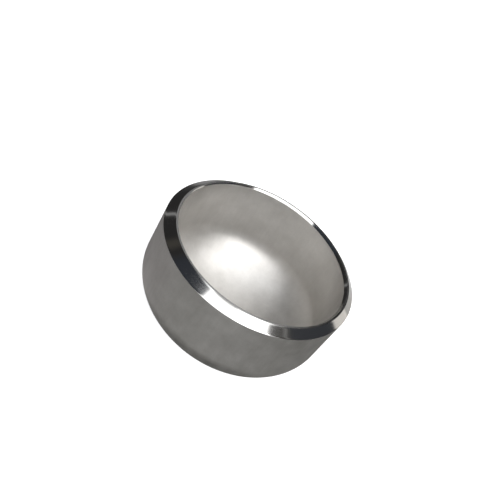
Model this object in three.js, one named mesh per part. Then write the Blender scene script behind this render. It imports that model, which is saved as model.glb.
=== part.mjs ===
// Butt-weld pipe cap, DN 80 (NPS 3), Schedule 40, stainless steel.
//
// A cap is one piece: a disc of plate pressed into a short straight skirt with a
// 2:1 semi-ellipsoidal crown, then turned at the open end for welding.  It has no
// fasteners, seals or moving parts, so the model is one solid of revolution.
//
// Millimetres, +Z up.  The crown's outer apex is the origin and the open end
// faces +Z, so the cap stands on its crown like a bowl.
import * as THREE from 'three';

// Driving dimensions.
const OUTSIDE_DIAMETER = 88.9;        // outside of DN 80 pipe
const WALL = 5.2;                     // read off the photo to about 0.3; Schedule 40 is 5.49 nominal
const END_TO_CROWN = 51;              // overall height, dimension E of the cap
const CROWN_RATIO = 2;                // bore radius over the crown's inside depth
const BEVEL_ANGLE = 37.5;             // weld bevel, degrees from the end plane
const ROOT_OUTER_RADIUS = 40.7;       // where the bevel meets the flat root face
const ROOT_FACE = 0.8;                // radial width of the flat root face
const TAPER_ANGLE = 37.5;             // inside lead-in, degrees from the axis

// Facets: round the axis, and along each quarter of an ellipse.
const TURN_STEPS = 72;
const OUTER_CROWN_STEPS = 16;
const INNER_CROWN_STEPS = 14;

const outerRadius = OUTSIDE_DIAMETER / 2;
const boreRadius = outerRadius - WALL;
const rootInnerRadius = ROOT_OUTER_RADIUS - ROOT_FACE;
const innerCrownDepth = boreRadius / CROWN_RATIO;
const outerCrownDepth = innerCrownDepth + WALL;
const tangentHeight = outerCrownDepth;    // where the crown meets the straight skirt
const bevelHeight = (outerRadius - ROOT_OUTER_RADIUS) * Math.tan(THREE.MathUtils.degToRad(BEVEL_ANGLE));
const taperHeight = (rootInnerRadius - boreRadius) / Math.tan(THREE.MathUtils.degToRad(TAPER_ANGLE));

// Points of a quarter ellipse below the tangent line, as (radius, height) pairs,
// from the axis at the bottom out to the skirt.
function crownQuarter(radius, depth, steps) {
  const points = [];
  for (let step = 0; step <= steps; step += 1) {
    const angle = (Math.PI / 2) * (step / steps);
    const distance = step === 0 ? 0 : radius * Math.sin(angle);
    points.push(new THREE.Vector2(distance, tangentHeight - depth * Math.cos(angle)));
  }
  return points;
}

// The section from the outer apex up the outside, over the weld end and back down
// the inside to the inner apex.
function capSection() {
  const outside = crownQuarter(outerRadius, outerCrownDepth, OUTER_CROWN_STEPS);
  const weldEnd = [
    new THREE.Vector2(outerRadius, END_TO_CROWN - bevelHeight),
    new THREE.Vector2(ROOT_OUTER_RADIUS, END_TO_CROWN),
    new THREE.Vector2(rootInnerRadius, END_TO_CROWN),
    new THREE.Vector2(boreRadius, END_TO_CROWN - taperHeight),
  ];
  const inside = crownQuarter(boreRadius, innerCrownDepth, INNER_CROWN_STEPS).reverse();
  return [...outside, ...weldEnd, ...inside];
}

function capBody() {
  const geometry = new THREE.LatheGeometry(capSection(), TURN_STEPS);
  geometry.rotateX(Math.PI / 2);      // the lathe turns about Y, the part stands along Z
  const blastedStainless = new THREE.MeshStandardMaterial({
    color: 0x8f8c88,
    roughness: 0.55,
    metalness: 1.0,
  });
  const mesh = new THREE.Mesh(geometry, blastedStainless);
  mesh.name = 'cap_body';
  return mesh;
}

const group = new THREE.Group();
group.name = 'pipe_cap';
group.add(capBody());

export default group;
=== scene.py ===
"""A stainless steel butt-weld pipe cap, standing on its crown and seen from above the open weld end."""

import math

import bpy
from mathutils import Matrix, Vector


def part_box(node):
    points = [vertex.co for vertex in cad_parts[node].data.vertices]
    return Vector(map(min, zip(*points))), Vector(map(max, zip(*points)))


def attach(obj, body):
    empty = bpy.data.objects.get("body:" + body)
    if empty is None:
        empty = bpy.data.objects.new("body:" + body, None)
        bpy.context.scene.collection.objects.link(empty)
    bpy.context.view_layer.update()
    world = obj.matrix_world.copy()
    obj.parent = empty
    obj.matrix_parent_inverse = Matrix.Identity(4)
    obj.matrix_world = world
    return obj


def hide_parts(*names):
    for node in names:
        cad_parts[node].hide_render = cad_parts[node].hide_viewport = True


MM = 0.001

# The cap's section, in metres.  The outside diameter and the height come from the CAD node.
WALL = 5.2 * MM                       # as in the CAD
BEVEL_ANGLE = math.radians(37.5)      # weld bevel, from the end plane
BEVEL_WIDTH = 3.75 * MM               # mean radial width of the bevel
ROOT_FACE = 0.8 * MM                  # flat ring at the end
TAPER_ANGLE = math.radians(37.5)      # inside lead-in, from the axis
CROWN_RATIO = 2                       # bore radius over the crown's inside depth
FOOT_FILLET = 0.15 * MM               # where the bevel meets the skirt
LIP_FILLET = 0.02 * MM                # both edges of the root face
BORE_FILLET = 0.30 * MM               # where the taper meets the bore

# Centres of the turned end and of the bore, off the skirt's axis.  They are off the axis
# because the photo's bevel is wider on one side than on the other.  The CAD is concentric, so the rim
# here differs from it by up to 0.5 mm: take sizes from the CAD.
LATHE_CENTRE = Vector((0.46, -0.08)) * MM
BORE_CENTRE = Vector((0.14, -0.28)) * MM

# Painted shade on the inside: its colour darkens along +X, from the first distance to the second.
# The bowl is darker there from its lighting, and this shade is painted into the metal's colour. A
# guess: the photo's bowl is darker there, and that may be its lighting and not the metal.
PAINTED_SHADE_FROM = 20 * MM
PAINTED_SHADE_TO = 38 * MM

# Blasted finish: the size of each feature, how far the streaks are drawn out, and the relief.
CLOUD_SIZE = 16 * MM
BLOTCH_SIZE = 5 * MM
STREAK_SIZE = 1.6 * MM
STREAK_SQUEEZE = 0.12                 # along Z, so that streaks run up the wall
GRAIN_SIZE = 0.45 * MM
BLAST_DEPTH = 0.03 * MM
BLAST_STRENGTH = 0.5

# Turned finish: the size of its rings and smears, and the relief.
RING_SIZE = 0.22 * MM
SMEAR_SIZE = 6 * MM
RING_DEPTH = 0.003 * MM
RING_STRENGTH = 0.4

# Colours, dark and light, and roughness, low and high.
OUTSIDE_TONES = (0.61, 0.60, 0.58), (0.75, 0.74, 0.72)
INSIDE_TONES = (0.58, 0.565, 0.543), (0.70, 0.685, 0.663)
TURNED_TONES = (0.49, 0.485, 0.475), (0.55, 0.545, 0.535)
BLASTED_ROUGHNESS = 0.42, 0.54
TURNED_ROUGHNESS = 0.09, 0.14
ROOT_ROUGHNESS = 0.18, 0.24
PAINTED_SHADE_SHARE = 0.8                      # of the inside's colour, left where the painted shade is deepest

# Mesh fineness.
TURN_STEPS = 360
CROWN_STEPS = 72
SKIRT_STEPS = 16
MACHINED_STEPS = 6
LIP_STEPS = 3
FILLET_STEPS = 4

# Camera, fitted to the photo's rim and outline.  The offset is from the centre of the open end.
VIEW_OFFSET = Vector((-5.0, -185.3, 135.2)) * MM
VIEW_TILT = math.radians(52.68)       # between the lens axis and the cap's axis
VIEW_ROLL = math.radians(34.38)
LENS = 39.2                           # focal length in millimetres
SENSOR = 36                           # width in millimetres
CLIP_START = 5 * MM

DOME_RADIUS = 3.0
DOME_STEPS = 48

# The studio, as the cap sees it: soft boxes, grey cards and dark gaps on a sphere round it.
# name: (azimuth from, to), (elevation from, to), (azimuth softness, elevation softness), colour, strength.
# Degrees; azimuth 0 is +X and 90 is +Y, and elevation 0 is level.
# Places were set one by one.  The strengths and tints started as a least-squares fit to the photo's
# tones, and were then rounded and changed.
PANELS = {
    "key_left": ((-124, -75), (34, 64), (1.5, 3), (1, 1, 1), 2.6),
    "key_right": ((-75, -31), (34, 64), (1.5, 3), (1, 1, 1), 3.8),
    "key_foot_left": ((-124, -75), (8, 34), (1.5, 3), (1, 1, 1), 1.7),
    "key_foot_right": ((-75, -31), (8, 34), (1.5, 3), (1, 1, 1), 3.0),
    "top": ((-200, 80), (74, 90), (3, 3), (0.98, 1, 1.02), 1.9),
    "zenith": ((-180, 180), (81, 90), (3, 3), (0.98, 1, 1.02), 1.2),
    "top_front_right": ((-31, 35), (54, 74), (4, 3), (1, 1, 1), 3.6),
    "top_front_left": ((195, 236), (61, 74), (4, 2), (0.98, 1, 1.02), 2.9),
    "top_right": ((35, 95), (54, 74), (4, 3), (1, 1, 1), 0.8),
    "far_window": ((79, 94), (39, 52), (2, 2), (1, 1, 1), 0.95),
    "far_left_window": ((94, 112), (33, 50), (3, 2), (1, 1, 1), 0.45),
    "right_window": ((32, 47), (-6, 24), (1.5, 5), (1, 0.96, 0.91), 1.05),
    "right_wall": ((47, 62), (-14, 12), (3, 5), (1, 0.98, 0.95), 0.66),
    "right_low": ((62, 82), (-29, 5), (5, 5), (1, 1, 1), 0.85),
    "far_right_low": ((82, 103), (-35, 5), (5, 5), (1, 1, 1), 0.26),
    "far_low": ((104, 118), (-24, -10), (3, 4), (1, 1, 1), 0.3),
    "grey_strip": ((-31, -8), (5, 54), (1.5, 3), (1, 0.96, 0.92), 0.095),
    "lamp_right": ((-14, -11), (36, 54), (0.7, 2), (1, 1, 1), 0.25),
    "dark_right": ((-8, 33), (14, 54), (2, 3), (0.92, 0.97, 1.1), 0.065),
    "front_right": ((-8, 30), (-10, 14), (2, 3), (1, 0.97, 0.93), 0.16),
    "dark_left": ((121, 187), (-5, 62), (1.5, 5), (1, 0.98, 0.98), 0.036),
    "lamp_left": ((146.5, 148.9), (8, 27), (0.7, 2), (1, 1, 1), 0.38),
    "olive_patch": ((170, 178), (29, 42), (3, 3), (1, 0.9, 0.7), 0.045),
    "blue_left": ((187, 236), (-5, 61), (4, 3), (0.86, 0.95, 1.15), 0.055),
    "left_low": ((118, 236), (-35, -5), (3, 5), (1, 1, 1), 0.08),
    "below_left": ((-160, -72), (-58, -35), (8, 12), (1, 0.985, 0.945), 0.37),
    "below_right": ((-72, 30), (-58, -35), (8, 12), (1, 0.985, 0.935), 0.23),
    "below_far_right": ((30, 100), (-58, -35), (8, 12), (1, 0.97, 0.95), 0.2),
    "below_far": ((100, 136), (-58, -35), (8, 12), (1, 0.96, 0.95), 0.34),
    "below_far_left": ((136, 200), (-58, -35), (8, 12), (1, 0.955, 0.955), 0.44),
    "nadir": ((-180, 180), (-90, -58), (8, 12), (1, 0.98, 0.95), 0.06),
    "front_low": ((-124, -31), (-35, 8), (5, 5), (1, 1, 1), 0.17),
}

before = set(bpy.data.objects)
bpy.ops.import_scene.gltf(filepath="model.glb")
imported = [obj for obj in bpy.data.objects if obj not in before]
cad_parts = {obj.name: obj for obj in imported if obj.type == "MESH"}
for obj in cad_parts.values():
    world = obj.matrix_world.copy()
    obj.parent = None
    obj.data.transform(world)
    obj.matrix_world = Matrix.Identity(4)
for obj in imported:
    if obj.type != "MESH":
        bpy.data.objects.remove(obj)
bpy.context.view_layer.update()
low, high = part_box("cap_body")
outer_radius = (high.x - low.x) / 2
end_height = high.z
bore_radius = outer_radius - WALL


# ---------------------------------------------------------------- shape

def fillet(corner, before, after, radius):
    """Points of an arc that rounds the corner between its two neighbours."""
    corner, before, after = Vector(corner), Vector(before), Vector(after)
    into, out = (before - corner).normalized(), (after - corner).normalized()
    half = into.angle(out) / 2
    reach = radius / math.tan(half)
    centre = corner + (into + out).normalized() * (radius / math.sin(half))
    start, stop = corner + into * reach - centre, corner + out * reach - centre
    turn = start.angle_signed(stop)
    spins = [Matrix.Rotation(-turn * step / FILLET_STEPS, 2) for step in range(FILLET_STEPS + 1)]
    return [centre + spin @ start for spin in spins]


def quarter_ellipse(radius, depth, tangent):
    """Points of a quarter of an ellipse, from the axis out to the crown's tangent line."""
    angles = [math.pi / 2 * step / CROWN_STEPS for step in range(CROWN_STEPS + 1)]
    return [Vector((radius * math.sin(a), tangent - depth * math.cos(a))) for a in angles]


def straight(start, stop, steps):
    """Points between two others, without the ends."""
    return [Vector(start).lerp(Vector(stop), step / steps) for step in range(1, steps)]


def section(outward):
    """[(surface, points)] from the outer apex to the inner apex, in one direction from the axis."""
    shift = LATHE_CENTRE.dot(outward)
    bore = bore_radius + BORE_CENTRE.dot(outward)
    root_outer = outer_radius - BEVEL_WIDTH + shift
    root_inner = root_outer - ROOT_FACE
    bevel_height = (outer_radius - root_outer) * math.tan(BEVEL_ANGLE)
    taper_height = (root_inner - bore) / math.tan(TAPER_ANGLE)
    inner_depth = bore_radius / CROWN_RATIO
    tangent = inner_depth + WALL
    skirt_foot = (outer_radius, tangent)
    skirt_top = (outer_radius, end_height - bevel_height)
    lip_outer = (root_outer, end_height)
    lip_inner = (root_inner, end_height)
    taper_foot = (bore, end_height - taper_height)
    bore_foot = (bore, tangent)
    return [
        ("outside", quarter_ellipse(outer_radius, tangent, tangent)),
        ("outside", straight(skirt_foot, skirt_top, SKIRT_STEPS)),
        ("bevel", fillet(skirt_top, skirt_foot, lip_outer, FOOT_FILLET)),
        ("bevel", straight(skirt_top, lip_outer, MACHINED_STEPS)),
        ("root_face", fillet(lip_outer, skirt_top, lip_inner, LIP_FILLET)),
        ("root_face", straight(lip_outer, lip_inner, LIP_STEPS)),
        ("taper", fillet(lip_inner, lip_outer, taper_foot, LIP_FILLET)),
        ("taper", straight(lip_inner, taper_foot, MACHINED_STEPS)),
        ("inside", fillet(taper_foot, lip_inner, bore_foot, BORE_FILLET)),
        ("inside", straight(taper_foot, bore_foot, SKIRT_STEPS)),
        ("inside", quarter_ellipse(bore, inner_depth, tangent)[::-1]),
    ]


def cap_mesh(slots):
    """The whole cap as one closed mesh: a section at each step of a turn about Z."""
    columns = []
    for step in range(TURN_STEPS):
        angle = 2 * math.pi * step / TURN_STEPS
        outward = Vector((math.cos(angle), math.sin(angle)))
        runs = section(outward)
        columns.append([(*(outward * p.x), p.y) for name, points in runs for p in points][1:-1])
    # Every direction has the same runs, so the last one's names serve for all.
    surfaces = [name for name, points in runs for _ in points][1:-1]
    rings = len(surfaces)
    verts = [column[ring] for ring in range(rings) for column in columns]
    outer_apex, inner_apex = len(verts), len(verts) + 1
    verts += [(0, 0, 0), (0, 0, WALL)]

    faces, face_slots = [], []
    for ring in range(rings - 1):
        for step in range(TURN_STEPS):
            here = ring * TURN_STEPS + step
            beside = ring * TURN_STEPS + (step + 1) % TURN_STEPS
            faces.append((here, beside, beside + TURN_STEPS, here + TURN_STEPS))
            face_slots.append(slots.index(surfaces[ring]))
    last = (rings - 1) * TURN_STEPS
    for step in range(TURN_STEPS):
        beside = (step + 1) % TURN_STEPS
        faces.append((outer_apex, beside, step))
        face_slots.append(slots.index("outside"))
        faces.append((inner_apex, last + step, last + beside))
        face_slots.append(slots.index("inside"))

    mesh = bpy.data.meshes.new("pipe_cap")
    mesh.from_pydata(verts, [], faces)
    mesh.polygons.foreach_set("material_index", face_slots)
    mesh.polygons.foreach_set("use_smooth", [True] * len(faces))
    mesh.update()
    return mesh


# ---------------------------------------------------------------- materials

def add(tree, kind, **settings):
    """A node whose settings are its own properties or the values of its sockets."""
    node = tree.nodes.new(kind)
    for key, value in settings.items():
        socket = node.inputs.get(key.replace("_", " "))
        if socket is not None:
            socket.default_value = value
        else:
            setattr(node, key, value)
    return node


def bare_metal(name, **settings):
    """(material, node tree, shader): constants are set on the Principled shader's own sockets."""
    material = bpy.data.materials.new(name)
    material.use_nodes = True
    shader = material.node_tree.nodes["Principled BSDF"]
    shader.inputs["Metallic"].default_value = 1.0
    for socket, value in settings.items():
        shader.inputs[socket.replace("_", " ")].default_value = value
    return material, material.node_tree, shader


def mixed(tree, parts):
    """The weighted sum of several 0 to 1 outputs, recentred so that it stays about 0.5."""
    total = None
    for socket, weight in parts:
        scaled = add(tree, "ShaderNodeMath", operation="MULTIPLY_ADD")
        tree.links.new(socket, scaled.inputs[0])
        scaled.inputs[1].default_value = weight
        if total is None:
            scaled.inputs[2].default_value = 0.5 - 0.5 * sum(w for _, w in parts)
        else:
            tree.links.new(total, scaled.inputs[2])
        total = scaled.outputs[0]
    return total


def ranged(tree, value, low, high):
    """A 0 to 1 value spread between two others."""
    node = add(tree, "ShaderNodeMapRange", To_Min=low, To_Max=high)
    tree.links.new(value, node.inputs["Value"])
    return node.outputs["Result"]


def tinted(tree, value, dark, light):
    """A colour between two others, by a 0 to 1 value."""
    node = add(tree, "ShaderNodeMix", data_type="RGBA")
    sides = [socket for socket in node.inputs if socket.type == "RGBA"]
    sides[0].default_value = (*dark, 1)
    sides[1].default_value = (*light, 1)
    tree.links.new(value, node.inputs["Factor"])
    return next(socket for socket in node.outputs if socket.type == "RGBA")


def bumped(tree, shader, height, depth, strength):
    """Feed a 0 to 1 height to the shader as relief of the given depth."""
    bump = add(tree, "ShaderNodeBump", Strength=strength, Distance=depth)
    tree.links.new(height, bump.inputs["Height"])
    tree.links.new(bump.outputs["Normal"], shader.inputs["Normal"])


def noise(tree, vector, size, detail=2.0, roughness=0.5):
    """Noise whose features are about as large as size."""
    node = add(tree, "ShaderNodeTexNoise", Scale=1 / size, Detail=detail, Roughness=roughness)
    tree.links.new(vector, node.inputs["Vector"])
    return node.outputs["Fac"]


def with_painted_shade(tree, place, colour, least):
    """The colour, darkened towards the +X side as painted shade; least is the share of it left there."""
    split = add(tree, "ShaderNodeSeparateXYZ")
    tree.links.new(place, split.inputs["Vector"])
    fade = add(tree, "ShaderNodeMapRange", interpolation_type="SMOOTHSTEP", To_Min=1.0, To_Max=least)
    fade.inputs["From Min"].default_value = PAINTED_SHADE_FROM
    fade.inputs["From Max"].default_value = PAINTED_SHADE_TO
    tree.links.new(split.outputs["X"], fade.inputs["Value"])
    scaled = add(tree, "ShaderNodeVectorMath", operation="SCALE")
    tree.links.new(colour, scaled.inputs[0])
    tree.links.new(fade.outputs["Result"], scaled.inputs["Scale"])
    return scaled.outputs[0]


def blasted(name, dark, light, rough_low, rough_high, least=1.0):
    """Shot-blasted and pickled steel: cloudy, with drawn streaks up the wall and a fine matt grain."""
    material, tree, shader = bare_metal(name)
    place = add(tree, "ShaderNodeTexCoord").outputs["Object"]
    clouds = noise(tree, place, CLOUD_SIZE, 3.0)
    blotches = noise(tree, place, BLOTCH_SIZE, 3.0, 0.6)
    squeeze = add(tree, "ShaderNodeVectorMath", operation="MULTIPLY")
    tree.links.new(place, squeeze.inputs[0])
    squeeze.inputs[1].default_value = (1, 1, STREAK_SQUEEZE)
    streaks = noise(tree, squeeze.outputs[0], STREAK_SIZE, 3.0, 0.6)
    grain = noise(tree, place, GRAIN_SIZE, 3.0, 0.65)

    tone = mixed(tree, [(clouds, 1.6), (blotches, 1.2), (streaks, 0.7), (grain, 0.8)])
    # Painted shade: the colour darkens towards +X unless least is 1.
    colour = with_painted_shade(tree, place, tinted(tree, tone, dark, light), least)
    tree.links.new(colour, shader.inputs["Base Color"])
    finish = mixed(tree, [(blotches, 1.2), (streaks, 0.6), (grain, 1.6)])
    tree.links.new(ranged(tree, finish, rough_low, rough_high), shader.inputs["Roughness"])
    relief = mixed(tree, [(grain, 1.0), (blotches, 1.0)])
    bumped(tree, shader, relief, BLAST_DEPTH, BLAST_STRENGTH)
    return material


def turned(name, dark, light, rough_low, rough_high):
    """Steel left by a lathe tool: fine rings about the lathe's centre, and light smears across them."""
    material, tree, shader = bare_metal(name, Anisotropic=0.6, Anisotropic_Rotation=0.25)
    place = add(tree, "ShaderNodeTexCoord").outputs["Object"]
    off_centre = add(tree, "ShaderNodeVectorMath", operation="SUBTRACT")
    tree.links.new(place, off_centre.inputs[0])
    off_centre.inputs[1].default_value = (*LATHE_CENTRE, 0)
    flat = add(tree, "ShaderNodeVectorMath", operation="MULTIPLY")
    tree.links.new(off_centre.outputs[0], flat.inputs[0])
    flat.inputs[1].default_value = (1, 1, 0)
    radius = add(tree, "ShaderNodeVectorMath", operation="LENGTH")
    tree.links.new(flat.outputs[0], radius.inputs[0])

    rings = add(tree, "ShaderNodeTexNoise", noise_dimensions="1D", Detail=2.0, Roughness=0.6)
    rings.inputs["Scale"].default_value = 1 / RING_SIZE
    tree.links.new(radius.outputs["Value"], rings.inputs["W"])
    smears = noise(tree, place, SMEAR_SIZE, 3.0, 0.6)

    tone = mixed(tree, [(rings.outputs["Fac"], 1.2), (smears, 0.8)])
    tree.links.new(tinted(tree, tone, dark, light), shader.inputs["Base Color"])
    finish = mixed(tree, [(rings.outputs["Fac"], 1.4), (smears, 1.0)])
    tree.links.new(ranged(tree, finish, rough_low, rough_high), shader.inputs["Roughness"])
    bumped(tree, shader, rings.outputs["Fac"], RING_DEPTH, RING_STRENGTH)
    tangent = add(tree, "ShaderNodeTangent", direction_type="RADIAL", axis="Z")
    tree.links.new(tangent.outputs["Tangent"], shader.inputs["Tangent"])
    return material


# ---------------------------------------------------------------- light and stage

def studio_world():
    """The panels as smooth-edged patches of light on the sky."""
    world = bpy.data.worlds.new("studio")
    bpy.context.scene.world = world
    world.use_nodes = True
    tree = world.node_tree
    link = tree.links.new
    place = add(tree, "ShaderNodeTexCoord")
    split = add(tree, "ShaderNodeSeparateXYZ")
    link(place.outputs["Generated"], split.inputs["Vector"])

    def maths(operation, *values):
        node = add(tree, "ShaderNodeMath", operation=operation)
        for socket, value in zip(node.inputs, values):
            if isinstance(value, bpy.types.NodeSocket):
                link(value, socket)
            else:
                socket.default_value = value
        return node.outputs[0]

    def ramp(value, start, stop):
        node = add(tree, "ShaderNodeMapRange", interpolation_type="SMOOTHSTEP", From_Min=start, From_Max=stop)
        link(value, node.inputs["Value"])
        return node.outputs["Result"]

    elevation = maths("ARCSINE", split.outputs["Z"])
    azimuth = maths("ARCTAN2", split.outputs["Y"], split.outputs["X"])
    total = None
    for name, (turn, rise, soft, colour, strength) in PANELS.items():
        middle = math.radians(sum(turn) / 2)
        half = math.radians((turn[1] - turn[0]) / 2)
        bottom, top = (math.radians(a) for a in rise)
        turn_soft, rise_soft = (math.radians(a) for a in soft)
        mask = 1.0
        if turn[1] - turn[0] < 360:
            away = maths("ARCCOSINE", maths("COSINE", maths("SUBTRACT", azimuth, middle)))
            mask = ramp(away, half + turn_soft, half - turn_soft)
        if rise[0] > -90:
            mask = maths("MULTIPLY", mask, ramp(elevation, bottom - rise_soft, bottom + rise_soft))
        if rise[1] < 90:
            mask = maths("MULTIPLY", mask, ramp(elevation, top + rise_soft, top - rise_soft))
        glow = add(tree, "ShaderNodeVectorMath", operation="SCALE", name=name)
        glow.inputs[0].default_value = colour
        link(maths("MULTIPLY", mask, strength), glow.inputs["Scale"])
        if total is None:
            total = glow
        else:
            join = add(tree, "ShaderNodeVectorMath", operation="ADD")
            link(total.outputs[0], join.inputs[0])
            link(glow.outputs[0], join.inputs[1])
            total = join
    link(total.outputs[0], tree.nodes["Background"].inputs["Color"])


def paper(name, grey, glow):
    """Matt pale paper that lights itself a little, so that no shadow on it is deep."""
    material = bpy.data.materials.new(name)
    material.use_nodes = True
    shader = material.node_tree.nodes["Principled BSDF"]
    shader.inputs["Base Color"].default_value = (grey, grey, grey, 1)
    shader.inputs["Roughness"].default_value = 1.0
    shader.inputs["Emission Color"].default_value = (1, 1, 1, 1)
    shader.inputs["Emission Strength"].default_value = glow
    return material


def stage_mesh(name, verts, faces, material):
    """A piece of the stage, which the steel doesn't reflect."""
    mesh = bpy.data.meshes.new(name)
    mesh.from_pydata(verts, [], faces)
    mesh.polygons.foreach_set("use_smooth", [True] * len(faces))
    mesh.materials.append(material)
    piece = bpy.data.objects.new(name, mesh)
    bpy.context.scene.collection.objects.link(piece)
    piece.visible_glossy = False
    return piece


def floor_and_backdrop():
    """A round pale floor and a paper dome on its edge; the steel reflects only the studio's panels."""
    turns = [2 * math.pi * step / DOME_STEPS for step in range(DOME_STEPS)]
    rises = [math.pi / 2 * step / DOME_STEPS for step in range(DOME_STEPS)]
    rim = [(DOME_RADIUS * math.cos(a), DOME_RADIUS * math.sin(a), 0) for a in turns]
    stage_mesh("floor", rim, [tuple(range(DOME_STEPS))], paper("floor_paper", 0.8, 0.7))
    verts = [(x * math.cos(r), y * math.cos(r), DOME_RADIUS * math.sin(r)) for r in rises for x, y, _ in rim]
    verts.append((0, 0, DOME_RADIUS))
    faces = []
    for ring in range(DOME_STEPS - 1):
        for step in range(DOME_STEPS):
            here, beside = ring * DOME_STEPS + step, ring * DOME_STEPS + (step + 1) % DOME_STEPS
            faces.append((here, here + DOME_STEPS, beside + DOME_STEPS, beside))
    last = (DOME_STEPS - 1) * DOME_STEPS
    faces += [(last + step, len(verts) - 1, last + (step + 1) % DOME_STEPS) for step in range(DOME_STEPS)]
    dome = stage_mesh("backdrop", verts, faces, paper("backdrop_paper", 0.0, 1.0))
    dome.visible_diffuse = False
    dome.visible_shadow = False


def camera():
    """The photo's view of the cap."""
    data = bpy.data.cameras.new("camera")
    data.sensor_width = SENSOR
    data.lens = LENS
    data.clip_start = CLIP_START
    eye = bpy.data.objects.new("camera", data)
    place = Vector((0, 0, end_height)) + VIEW_OFFSET
    turn = Matrix.Rotation(VIEW_TILT, 4, "X") @ Matrix.Rotation(VIEW_ROLL, 4, "Z")
    eye.matrix_world = Matrix.Translation(place) @ turn
    bpy.context.scene.collection.objects.link(eye)
    bpy.context.scene.camera = eye


camera()
studio_world()
floor_and_backdrop()

materials = {
    "outside": blasted("blasted_outside", *OUTSIDE_TONES, *BLASTED_ROUGHNESS),
    # The inside's colour carries painted shade on its +X side.
    "inside": blasted("blasted_inside", *INSIDE_TONES, *BLASTED_ROUGHNESS, PAINTED_SHADE_SHARE),
    "bevel": turned("turned_bevel", *TURNED_TONES, *TURNED_ROUGHNESS),
    "root_face": turned("turned_root", *TURNED_TONES, *ROOT_ROUGHNESS),
    "taper": turned("turned_taper", *TURNED_TONES, *TURNED_ROUGHNESS),
}
cap = bpy.data.objects.new("pipe_cap", cap_mesh(list(materials)))
bpy.context.scene.collection.objects.link(cap)
for material in materials.values():
    cap.data.materials.append(material)
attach(cap, "root")
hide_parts("cap_body")
bpy.context.scene.view_settings.view_transform = "Standard"
